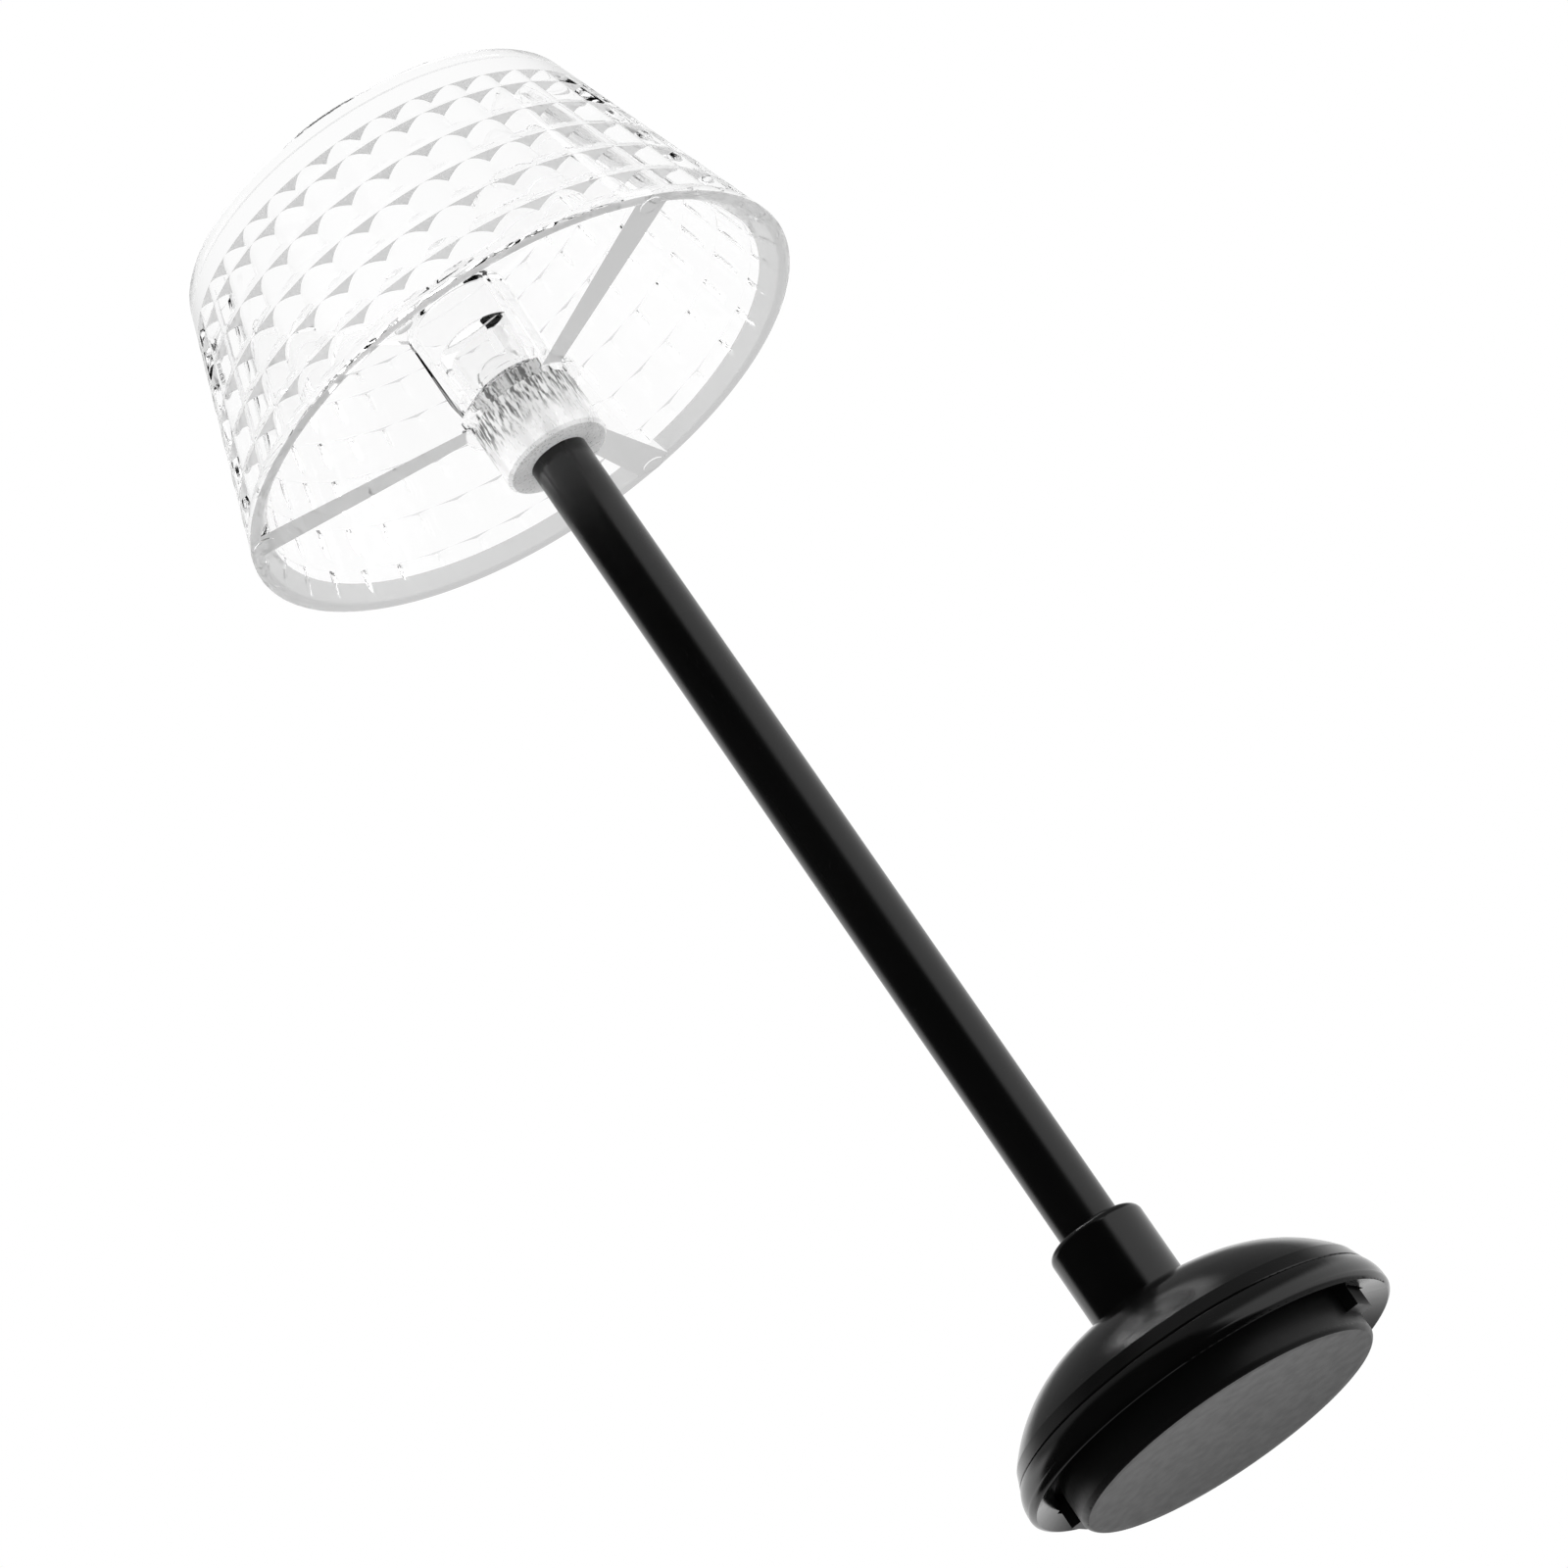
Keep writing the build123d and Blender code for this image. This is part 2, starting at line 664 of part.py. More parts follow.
# ---- switch, board and resistor above the tray ----
with BuildPart() as switch_body:
    with BuildSketch(Plane.XY.offset(tray_top)):
        RectangleRounded(switch_side, switch_side, 0.4)
        Circle(plunger_radius + 0.1, mode=Mode.SUBTRACT)
    extrude(amount=switch_height)

with BuildPart() as switch_plunger:
    with BuildSketch(Plane.XY.offset(stem_top + touch_gap)):
        Circle(plunger_radius)
    extrude(amount=board_bottom - press_travel - 0.05 - stem_top - touch_gap)
    chamfer(switch_plunger.edges().filter_by(GeomType.CIRCLE).group_by(Axis.Z)[0], length=0.2)

with BuildPart() as circuit_board:
    with BuildSketch(Plane.XY.offset(board_bottom)):
        Circle(board_radius)
    extrude(amount=board_gauge)

with BuildPart() as resistor:
    with BuildSketch(Plane.XY.offset(board_bottom - resistor_size[2])):
        with Locations(at(resistor_azimuth, resistor_place)[:2]):
            Rectangle(resistor_size[0], resistor_size[1], rotation=resistor_azimuth)
    extrude(amount=resistor_size[2])

parts = {
    "shade": shade.part,
    "neck_collar": neck_collar.part,
    "post_tube": post_tube.part,
    "led_diffuser": led_diffuser.part,
    "led": led.part,
    "led_leads": led_leads.part,
    "led_holder": led_holder.part,
    "wire_red": wire_red.part,
    "wire_black": wire_black.part,
    "base_shell": base_shell.part,
    "bottom_ring": bottom_ring.part,
    "press_button": press_button.part,
    "return_spring": return_spring.part,
    "battery_tray": battery_tray.part,
    "battery_door": battery_door.part,
    "tray_screws": tray_screws.part,
    **cells,
    "link_top": link_top.part,
    "link_bottom": link_bottom.part,
    "contact_positive": contact_positive.part,
    "contact_negative": contact_negative.part,
    "switch_body": switch_body.part,
    "switch_plunger": switch_plunger.part,
    "circuit_board": circuit_board.part,
    "resistor": resistor.part,
}

os.makedirs("parts", exist_ok=True)
for name, solid in parts.items():
    solid.label = name
    export_step(solid, f"parts/{name}.step")
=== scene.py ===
import bpy
from math import cos, sin, pi, radians, sqrt
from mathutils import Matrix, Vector


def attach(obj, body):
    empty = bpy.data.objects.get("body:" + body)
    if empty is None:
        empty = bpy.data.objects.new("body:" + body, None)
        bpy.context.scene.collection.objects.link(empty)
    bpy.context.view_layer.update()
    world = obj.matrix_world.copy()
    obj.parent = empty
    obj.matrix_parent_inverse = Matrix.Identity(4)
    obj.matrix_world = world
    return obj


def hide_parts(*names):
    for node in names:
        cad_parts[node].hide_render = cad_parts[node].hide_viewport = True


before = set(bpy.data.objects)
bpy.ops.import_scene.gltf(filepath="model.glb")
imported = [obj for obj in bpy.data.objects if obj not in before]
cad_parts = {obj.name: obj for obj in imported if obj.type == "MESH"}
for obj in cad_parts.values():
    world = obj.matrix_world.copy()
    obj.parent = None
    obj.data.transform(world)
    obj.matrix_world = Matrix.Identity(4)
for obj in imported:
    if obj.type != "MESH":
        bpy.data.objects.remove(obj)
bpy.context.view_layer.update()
mm = 0.001
print("frame loaded")


# small helpers

def startClean():
    if bpy.context.mode != "OBJECT":
        bpy.ops.object.mode_set(mode="OBJECT")
    bpy.ops.object.select_all(action="DESELECT")


def closeOutline(points, corners, steps=6):
    # points of a closed outline with some corners rounded, corners is {index: radius}
    out = []
    count = len(points)
    for i, p in enumerate(points):
        here = Vector(p)
        radius = corners.get(i, 0)
        if not radius:
            out.append(here)
            continue
        back = (Vector(points[i - 1]) - here).normalized()
        ahead = (Vector(points[(i + 1) % count]) - here).normalized()
        half = back.angle(ahead) / 2
        reach = radius * cos(half) / sin(half)
        middle = here + (back + ahead).normalized() * radius / sin(half)
        first, last = here + back * reach - middle, here + ahead * reach - middle
        for k in range(steps + 1):
            t = k / steps
            spoke = first.slerp(last, t, last) if first.angle(last) > 0.01 else last
            out.append(middle + spoke.normalized() * radius)
    return out


def turned(name, outline, steps=144):
    # a closed outline of (radius, height) in metres, spun round the lamp's axis
    startClean()
    bpy.ops.mesh.primitive_circle_add(vertices=len(outline), radius=1, fill_type="NOTHING")
    piece = bpy.context.object
    piece.name = name
    for vertex, point in zip(piece.data.vertices, outline):
        vertex.co = (point[0], 0, point[1])
    bpy.ops.object.mode_set(mode="EDIT")
    bpy.ops.mesh.select_all(action="SELECT")
    bpy.ops.mesh.spin(steps=steps, angle=2 * pi, center=(0, 0, 0), axis=(0, 0, 1))
    bpy.ops.mesh.select_all(action="SELECT")
    bpy.ops.mesh.remove_doubles(threshold=0.001 * mm)
    bpy.ops.mesh.normals_make_consistent(inside=False)
    bpy.ops.object.mode_set(mode="OBJECT")
    return piece


def joinInto(target, addition):
    startClean()
    bpy.context.view_layer.objects.active = target
    target.select_set(True)
    modifier = target.modifiers.new("join", "BOOLEAN")
    modifier.operation = "UNION"
    modifier.solver = "EXACT"
    modifier.object = addition
    bpy.ops.object.modifier_apply(modifier=modifier.name)
    bpy.data.objects.remove(addition)


def smoothed(piece, angle):
    startClean()
    bpy.context.view_layer.objects.active = piece
    piece.select_set(True)
    bpy.ops.object.shade_smooth_by_angle(angle=radians(angle))


# materials

def newMaterial(name):
    material = bpy.data.materials.new(name)
    material.use_nodes = True
    nodes, links = material.node_tree.nodes, material.node_tree.links
    shader = nodes["Principled BSDF"]
    place = nodes.new("ShaderNodeTexCoord")
    return material, nodes, links, shader, place


def noiseAt(nodes, links, place, scale, detail=4, stretch=(1, 1, 1)):
    mapping = nodes.new("ShaderNodeMapping")
    mapping.inputs["Scale"].default_value = stretch
    links.new(place.outputs["Object"], mapping.inputs["Vector"])
    noise = nodes.new("ShaderNodeTexNoise")
    noise.inputs["Scale"].default_value = scale
    noise.inputs["Detail"].default_value = detail
    links.new(mapping.outputs["Vector"], noise.inputs["Vector"])
    return noise


def spread(nodes, links, source, low, high, start=0.35, end=0.65):
    # a texture value stretched between two numbers
    ramp = nodes.new("ShaderNodeMapRange")
    ramp.inputs["From Min"].default_value = start
    ramp.inputs["From Max"].default_value = end
    ramp.inputs["To Min"].default_value = low
    ramp.inputs["To Max"].default_value = high
    links.new(source, ramp.inputs["Value"])
    return ramp.outputs["Result"]


def bumpFrom(nodes, links, shader, source, strength, distance):
    bump = nodes.new("ShaderNodeBump")
    bump.inputs["Strength"].default_value = strength
    bump.inputs["Distance"].default_value = distance
    links.new(source, bump.inputs["Height"])
    links.new(bump.outputs["Normal"], shader.inputs["Normal"])


plastics = {
    "clearIndex": 1.14,        # low, so that light isn't caught inside the thin wall
    # colour and clearness of the painted shade on down-facing steps, rims and fin feet
    "paintedStepShade": 0.62, "stepClear": 0.4, "facingDown": (-0.75, -0.4), "hubEdge": (6.6 * mm, 7.2 * mm),
    # band of dark scratch streaks with painted shade of the post seen through the collar
    "neckIndex": 1.3, "scratchShadeFrom": 126.2 * mm, "scratchShadeTo": 128.6 * mm, "scratchShadeDark": 0.2,
}


def clearPlastic():
    material, nodes, links, shader, place = newMaterial("clear moulded plastic")
    shape = nodes.new("ShaderNodeNewGeometry")
    upright = nodes.new("ShaderNodeSeparateXYZ")
    links.new(shape.outputs["True Normal"], upright.inputs["Vector"])
    inward = nodes.new("ShaderNodeMath")
    inward.operation = "ADD"
    links.new(upright.outputs["Z"], inward.inputs[0])
    links.new(shape.outputs["Backfacing"], inward.inputs[1])
    flat = nodes.new("ShaderNodeVectorMath")
    flat.operation = "MULTIPLY"
    flat.inputs[1].default_value = (1, 1, 0)
    links.new(place.outputs["Object"], flat.inputs[0])
    reach = nodes.new("ShaderNodeVectorMath")
    reach.operation = "LENGTH"
    links.new(flat.outputs["Vector"], reach.inputs[0])
    nearHub = spread(nodes, links, reach.outputs["Value"], 1.0, 0.0, *plastics["hubEdge"])
    outer = nodes.new("ShaderNodeMath")
    outer.operation = "ADD"
    links.new(inward.outputs["Value"], outer.inputs[0])
    links.new(nearHub, outer.inputs[1])
    steps = outer.outputs["Value"]     # painted shade: steps, rims and fin feet facing down get a greyer, less clear surface
    down = plastics["facingDown"]
    # painted shade on down-facing faces: greyer base colour and lower transmission
    links.new(spread(nodes, links, steps, plastics["paintedStepShade"], 0.98, *down),
              shader.inputs["Base Color"])
    links.new(spread(nodes, links, steps, plastics["stepClear"], 1.0, *down),
              shader.inputs["Transmission Weight"])
    shader.inputs["IOR"].default_value = plastics["clearIndex"]
    flow = noiseAt(nodes, links, place, 240, 3)
    links.new(spread(nodes, links, flow.outputs["Fac"], 0.0, 0.05), shader.inputs["Roughness"])
    ripple = noiseAt(nodes, links, place, 420, 2, (1, 1, 0.4))
    bumpFrom(nodes, links, shader, ripple.outputs["Fac"], 0.12, 0.05 * mm)
    return material


def frostedPlastic():
    material, nodes, links, shader, place = newMaterial("frosted neck plastic")
    shader.inputs["IOR"].default_value = plastics["neckIndex"]
    streaks = noiseAt(nodes, links, place, 3000, 4, (1, 1, 0.22))
    cloud = noiseAt(nodes, links, place, 500, 4, (1, 1, 0.5))
    links.new(spread(nodes, links, cloud.outputs["Fac"], 0.15, 0.4),
              shader.inputs["Transmission Weight"])
    level = nodes.new("ShaderNodeSeparateXYZ")
    links.new(place.outputs["Object"], level.inputs["Vector"])
    scratchAndShade = nodes.new("ShaderNodeMath")     # dark scratch streaks plus painted shade of the black post seen through, in a band where the post ends inside
    scratchAndShade.operation = "MULTIPLY"
    links.new(spread(nodes, links, level.outputs["Z"], 0.0, 1.0,
                     plastics["scratchShadeFrom"], plastics["scratchShadeTo"]), scratchAndShade.inputs[0])
    links.new(spread(nodes, links, streaks.outputs["Fac"], 1.0, 0.0, 0.42, 0.56), scratchAndShade.inputs[1])
    links.new(spread(nodes, links, scratchAndShade.outputs["Value"], 0.96, plastics["scratchShadeDark"], 0.0, 1.0),
              shader.inputs["Base Color"])
    links.new(spread(nodes, links, streaks.outputs["Fac"], 0.15, 0.6), shader.inputs["Roughness"])
    bumpFrom(nodes, links, shader, streaks.outputs["Fac"], 0.6, 0.08 * mm)
    return material


def blackLacquer():
    material, nodes, links, shader, place = newMaterial("satin black lacquer")
    shader.inputs["Base Color"].default_value = (0.0015, 0.0015, 0.0015, 1)
    smear = noiseAt(nodes, links, place, 180, 4, (1, 1, 0.15))
    links.new(spread(nodes, links, smear.outputs["Fac"], 0.2, 0.3), shader.inputs["Roughness"])
    grain = noiseAt(nodes, links, place, 2400, 2)
    bumpFrom(nodes, links, shader, grain.outputs["Fac"], 0.08, 0.02 * mm)
    return material


def glossBlack():
    material, nodes, links, shader, place = newMaterial("gloss black moulding")
    shader.inputs["Base Color"].default_value = (0.0015, 0.0015, 0.0015, 1)
    smear = noiseAt(nodes, links, place, 400, 4)
    links.new(spread(nodes, links, smear.outputs["Fac"], 0.13, 0.18), shader.inputs["Roughness"])
    skin = noiseAt(nodes, links, place, 900, 3)
    bumpFrom(nodes, links, shader, skin.outputs["Fac"], 0.1, 0.03 * mm)
    return material


def satinBlack():
    material, nodes, links, shader, place = newMaterial("satin black button")
    shader.inputs["Base Color"].default_value = (0.003, 0.003, 0.003, 1)
    shader.inputs["Specular IOR Level"].default_value = 0.3
    smear = noiseAt(nodes, links, place, 700, 3)
    links.new(spread(nodes, links, smear.outputs["Fac"], 0.36, 0.4), shader.inputs["Roughness"])
    grain = noiseAt(nodes, links, place, 3200, 3)
    bumpFrom(nodes, links, shader, grain.outputs["Fac"], 0.25, 0.02 * mm)
    return material


def mouldedGrey(name, colour, rough):
    material, nodes, links, shader, place = newMaterial(name)
    shader.inputs["Base Color"].default_value = (*colour, 1)
    smear = noiseAt(nodes, links, place, 260, 4)
    links.new(spread(nodes, links, smear.outputs["Fac"], rough - 0.05, rough + 0.08),
              shader.inputs["Roughness"])
    grain = noiseAt(nodes, links, place, 2600, 3)
    bumpFrom(nodes, links, shader, grain.outputs["Fac"], 0.2, 0.02 * mm)
    return material


def brightMetal(name, colour, rough):
    material, nodes, links, shader, place = newMaterial(name)
    shader.inputs["Base Color"].default_value = (*colour, 1)
    shader.inputs["Metallic"].default_value = 1
    rub = noiseAt(nodes, links, place, 900, 4, (1, 0.2, 1))
    links.new(spread(nodes, links, rub.outputs["Fac"], rough, rough + 0.15),
              shader.inputs["Roughness"])
    bumpFrom(nodes, links, shader, rub.outputs["Fac"], 0.1, 0.01 * mm)
    return material


def dress(piece, material):
    piece.data.materials.clear()
    piece.data.materials.append(material)


# the shade: one sector of the wall is shaped, spun 36 times, then joined with fins and hub

shadeWall = {
    "bottomRadius": 32.5 * mm, "topRadius": 23.5 * mm, "bottom": 131.0 * mm, "top": 159.6 * mm,
    "wall": 2.4 * mm, "land": 1.4 * mm, "count": 36, "firstValley": 4.0,
    "rows": [1.0, 4.35, 8.85, 13.3, 17.6, 21.8, 24.2],
    "depth": 1.15 * mm, "ledgeDrop": 0.75 * mm, "roundness": 1.7, "shieldShare": 0.55,
    "halfSteps": 5, "upperSteps": 3, "grooveRise": 26.8 * mm, "groove": 0.14 * mm,
    "innerFrom": 1.6, "innerTo": 24.6, "rimRound": 0.25 * mm,
}


def coneRadius(height):
    s = shadeWall
    share = (height - s["bottom"]) / (s["top"] - s["bottom"])
    return s["bottomRadius"] + share * (s["topRadius"] - s["bottomRadius"])


def facetDepth(across, up):
    # across is 0 at a crest and 1 at a valley, up is 0 to 1 in the row
    s = shadeWall
    return s["depth"] * min(abs(across), up / s["shieldShare"]) ** s["roundness"]


def sectorPoint(across, height, depth):
    s = shadeWall
    azimuth = radians(s["firstValley"] + (across + 1) * 180 / s["count"])
    radius = coneRadius(height) - depth
    return (radius * cos(azimuth), radius * sin(azimuth), height)


def sectorLevels():
    # every level of the outer wall, as a function of across: (height, depth)
    s = shadeWall
    levels = [lambda a: (s["bottom"] + s["rimRound"], 0)]
    edges = [s["bottom"] + rise * mm for rise in s["rows"]]
    ups = [s["shieldShare"] * k / s["halfSteps"] for k in range(s["halfSteps"] + 1)]
    ups += [s["shieldShare"] + (1 - s["shieldShare"]) * k / s["upperSteps"]
            for k in range(1, s["upperSteps"] + 1)]
    for low, high in zip(edges[:-1], edges[1:]):
        for up in ups:
            def level(across, up=up, low=low, high=high):
                deep = facetDepth(across, up)
                drop = s["ledgeDrop"] * abs(across) ** s["roundness"] * up
                return low + up * (high - low) - drop, deep
            levels.append(level)
    grooveAt = s["bottom"] + s["grooveRise"]
    levels.append(lambda a: (edges[-1], 0))
    levels.append(lambda a: (grooveAt - s["groove"], 0))
    levels.append(lambda a: (grooveAt, s["groove"]))
    levels.append(lambda a: (grooveAt + s["groove"], 0))
    levels.append(lambda a: (s["top"] - s["rimRound"], 0))
    return levels


def buildSector():
    s = shadeWall
    levels = sectorLevels()
    columns = 2 * s["halfSteps"]
    startClean()
    bpy.ops.mesh.primitive_grid_add(x_subdivisions=columns, y_subdivisions=len(levels) - 1, size=2)
    sector = bpy.context.object
    sector.name = "shadeWall"
    for vertex in sector.data.vertices:
        across = round(vertex.co.x * s["halfSteps"]) / s["halfSteps"]
        row = round((vertex.co.y + 1) / 2 * (len(levels) - 1))
        height, depth = levels[row](across)
        vertex.co = sectorPoint(across, height, depth)
    return sector


def foldAlongCreases(sector):
    # split every square so that the diagonal follows the crease from the row's foot
    middle = radians(shadeWall["firstValley"] + 180 / shadeWall["count"])
    sideways = Vector((-sin(middle), cos(middle), 0))
    for right, method in ((True, "FIXED"), (False, "FIXED_ALTERNATE")):
        bpy.ops.mesh.select_all(action="DESELECT")
        bpy.ops.object.mode_set(mode="OBJECT")
        for face in sector.data.polygons:
            face.select = len(face.vertices) == 4 and (face.center.dot(sideways) > 0) == right
        bpy.ops.object.mode_set(mode="EDIT")
        bpy.ops.mesh.select_mode(type="FACE")
        bpy.ops.mesh.quads_convert_to_tris(quad_method=method)


def buildShadeWall():
    s = shadeWall
    sector = buildSector()
    bpy.ops.object.mode_set(mode="EDIT")
    bpy.ops.mesh.select_all(action="SELECT")
    foldAlongCreases(sector)
    bpy.ops.mesh.select_all(action="SELECT")
    bpy.ops.mesh.spin(steps=s["count"], dupli=True, angle=2 * pi, center=(0, 0, 0), axis=(0, 0, 1))
    bpy.ops.mesh.select_all(action="SELECT")
    bpy.ops.mesh.remove_doubles(threshold=0.005 * mm)
    bpy.ops.mesh.dissolve_degenerate(threshold=0.002 * mm)
    bpy.ops.object.mode_set(mode="OBJECT")
    closeWall(sector)
    return sector


def selectRim(piece, high):
    # the open edge loop at one end of the wall
    s = shadeWall
    middle = (s["bottom"] + s["top"]) / 2
    bpy.ops.mesh.select_all(action="DESELECT")
    bpy.ops.mesh.select_mode(type="EDGE")
    bpy.ops.mesh.select_non_manifold()
    bpy.ops.object.mode_set(mode="OBJECT")
    for edge in piece.data.edges:
        level = piece.data.vertices[edge.vertices[0]].co.z
        if (level > middle) != high:
            edge.select = False
    for vertex in piece.data.vertices:
        if (vertex.co.z > middle) != high:
            vertex.select = False
    bpy.ops.object.mode_set(mode="EDIT")


def rimStep(radius, height):
    # extrude the selected rim and bring it to a new radius and height
    bpy.ops.mesh.extrude_region_move()
    bpy.ops.object.mode_set(mode="OBJECT")
    for vertex in bpy.context.object.data.vertices:
        if vertex.select:
            share = radius / sqrt(vertex.co.x ** 2 + vertex.co.y ** 2)
            vertex.co = (vertex.co.x * share, vertex.co.y * share, height)
    bpy.ops.object.mode_set(mode="EDIT")


def closeWall(piece):
    s = shadeWall
    innerLow = s["bottom"] + s["innerFrom"] * mm
    innerHigh = s["bottom"] + s["innerTo"] * mm
    bpy.ops.object.mode_set(mode="EDIT")
    selectRim(piece, False)
    curve = s["rimRound"]
    rimStep(s["bottomRadius"] - curve * 0.3, s["bottom"] + curve * 0.3)
    rimStep(s["bottomRadius"] - curve, s["bottom"])
    rimStep(s["bottomRadius"] - s["land"] + curve, s["bottom"])
    rimStep(s["bottomRadius"] - s["land"] - curve * 0.2, s["bottom"] + curve * 0.5)
    rimStep(coneRadius(innerLow) - s["wall"], innerLow)
    rimStep(coneRadius(innerHigh) - s["wall"], innerHigh)
    bpy.ops.mesh.select_all(action="DESELECT")
    selectRim(piece, True)
    bpy.ops.object.mode_set(mode="OBJECT")
    for vertex in piece.data.vertices:     # only the outer rim, not the end of the inner wall
        if vertex.select and vertex.co.z < s["top"] - mm:
            vertex.select = False
    for edge in piece.data.edges:
        edge.select = all(piece.data.vertices[v].select for v in edge.vertices)
    bpy.ops.object.mode_set(mode="EDIT")
    rimStep(s["topRadius"] - curve * 0.3, s["top"] - curve * 0.3)
    rimStep(s["topRadius"] - curve, s["top"])
    rimStep(s["topRadius"] - s["land"] + curve, s["top"])
    rimStep(s["topRadius"] - s["land"], s["top"] - curve * 0.5)
    bpy.ops.mesh.select_all(action="DESELECT")
    bpy.ops.mesh.select_non_manifold()
    bpy.ops.mesh.bridge_edge_loops()
    bpy.ops.mesh.select_all(action="SELECT")
    bpy.ops.mesh.normals_make_consistent(inside=False)
    bpy.ops.object.mode_set(mode="OBJECT")


fins = {
    "azimuths": [-45.0, 75.0, 195.0], "foot": 4.2 * mm, "root": 2.5 * mm, "tip": 0.6 * mm,
    "wallRise": 23.5 * mm, "hubRise": 12.5 * mm, "inside": 5.5 * mm,
}


def buildFin(azimuth):
    s = shadeWall
    top = s["bottom"] + fins["wallRise"]
    sink = s["wall"] / 2 + 0.1 * mm
    outline = [
        (fins["inside"], s["bottom"] + 0.02 * mm),
        (s["bottomRadius"] - s["land"] + 0.1 * mm, s["bottom"] + 0.02 * mm),
        (coneRadius(s["bottom"] + 3 * mm) - sink, s["bottom"] + 3 * mm),
        (coneRadius(top) - sink, top),
        (fins["inside"] + 0.3 * mm, s["bottom"] + fins["hubRise"]),
    ]
    startClean()
    bpy.ops.mesh.primitive_circle_add(vertices=len(outline), radius=1, fill_type="NGON")
    fin = bpy.context.object
    fin.name = "shadeFin"
    for vertex, point in zip(fin.data.vertices, outline):
        vertex.co = (point[0], 0, point[1])
    bpy.ops.object.mode_set(mode="EDIT")
    bpy.ops.mesh.select_all(action="SELECT")
    bpy.ops.mesh.extrude_region_move(TRANSFORM_OT_translate={"value": (0, 1, 0)})
    bpy.ops.mesh.select_all(action="SELECT")
    bpy.ops.mesh.normals_make_consistent(inside=False)
    bpy.ops.object.mode_set(mode="OBJECT")
    turn = radians(azimuth)
    reach = coneRadius(top) - sink
    widen = (fins["foot"] - fins["root"]) / 2 / (s["bottomRadius"] - fins["inside"])
    atTip = fins["root"] / 2 + widen * (reach - fins["inside"]) - fins["tip"] / 2
    for vertex in fin.data.vertices:       # flat sides, thinner upwards and towards the hub
        radius, rise = vertex.co.x, vertex.co.z - s["bottom"]
        half = fins["root"] / 2 + widen * (radius - fins["inside"])
        half -= atTip * rise / fins["wallRise"]
        side = half if vertex.co.y > 0.5 else -half
        vertex.co = (radius * cos(turn) - side * sin(turn), radius * sin(turn) + side * cos(turn),
                     vertex.co.z)
    return fin


hub = {
    "flange": 7.0 * mm, "flangeHeight": 1.3 * mm, "foot": 5.8 * mm, "radius": 6.3 * mm,
    "flareHeight": 4.5 * mm, "height": 14.4 * mm, "wall": 1.0 * mm, "bore": 4.78 * mm,
    "boreTop": 3.0 * mm, "crown": 1.6 * mm,
}


def buildHub():
    h = hub
    base = shadeWall["bottom"]
    points = [
        (0.0, base + h["height"] - h["wall"]),
        (h["radius"] - h["wall"], base + h["height"] - h["wall"]),
        (h["radius"] - h["wall"], base + h["boreTop"] + 0.7 * mm),
        (h["bore"], base + h["boreTop"]),
        (h["bore"], base),
        (h["flange"], base),
        (h["flange"], base + h["flangeHeight"]),
        (h["foot"], base + h["flangeHeight"]),
        (h["radius"], base + h["flareHeight"]),
        (h["radius"], base + h["height"]),
        (0.0, base + h["height"]),
    ]
    corners = {1: 0.8 * mm, 3: 0.1 * mm, 5: 0.25 * mm, 6: 0.35 * mm, 7: 0.4 * mm, 8: 3 * mm,
               9: h["crown"]}
    return turned("shadeHub", closeOutline(points, corners), 96)


marks = {    # left by the mould: an ejector pin at each fin's end, and the gate on the rim
    "pinRadius": 1.2 * mm, "pinAt": 30.9 * mm, "pinStep": 0.1 * mm,
    "gateAzimuth": -100.0, "gateAt": 30.3 * mm, "gateSize": (0.5 * mm, 1.1 * mm, 0.45 * mm),
}


def mouldMarks():
    base = shadeWall["bottom"]
    found = []
    for azimuth in fins["azimuths"]:
        turn = radians(azimuth)
        startClean()
        bpy.ops.mesh.primitive_cylinder_add(vertices=24, radius=marks["pinRadius"],
                                            depth=2 * marks["pinStep"])
        found.append(bpy.context.object)
        for vertex in found[-1].data.vertices:
            vertex.co += Vector((marks["pinAt"] * cos(turn), marks["pinAt"] * sin(turn), base))
    turn = radians(marks["gateAzimuth"])
    startClean()
    bpy.ops.mesh.primitive_uv_sphere_add(segments=24, ring_count=12, radius=1)
    found.append(bpy.context.object)
    for vertex in found[-1].data.vertices:
        out, along, up = (v * size for v, size in zip(vertex.co, marks["gateSize"]))
        out += marks["gateAt"]
        vertex.co = (out * cos(turn) - along * sin(turn), out * sin(turn) + along * cos(turn),
                     base + 0.3 * mm + up)
    return found


def buildShade(material):
    shade = buildShadeWall()
    print("shade wall", len(shade.data.polygons))
    core = buildHub()
    for azimuth in fins["azimuths"]:
        joinInto(core, buildFin(azimuth))
    joinInto(shade, core)
    for mark in mouldMarks():
        joinInto(shade, mark)
    smoothed(shade, 24)
    dress(shade, material)
    shade.name = "shadeMoulding"
    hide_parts("shade")
    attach(shade, "shade")
    print("shade", len(shade.data.polygons))


clear = clearPlastic()
frosted = frostedPlastic()
lacquer = blackLacquer()
gloss = glossBlack()
satin = satinBlack()
greyMoulding = mouldedGrey("dark grey moulding", (0.02, 0.02, 0.022), 0.45)
whiteMoulding = mouldedGrey("white moulding", (0.8, 0.79, 0.75), 0.4)
boardGreen = mouldedGrey("green board", (0.01, 0.09, 0.03), 0.35)
redSleeve = mouldedGrey("red wire sleeve", (0.4, 0.01, 0.01), 0.45)
blackSleeve = mouldedGrey("black wire sleeve", (0.01, 0.01, 0.01), 0.45)
steel = brightMetal("bright steel", (0.6, 0.6, 0.61), 0.22)
nickel = brightMetal("nickel plate", (0.66, 0.64, 0.6), 0.2)

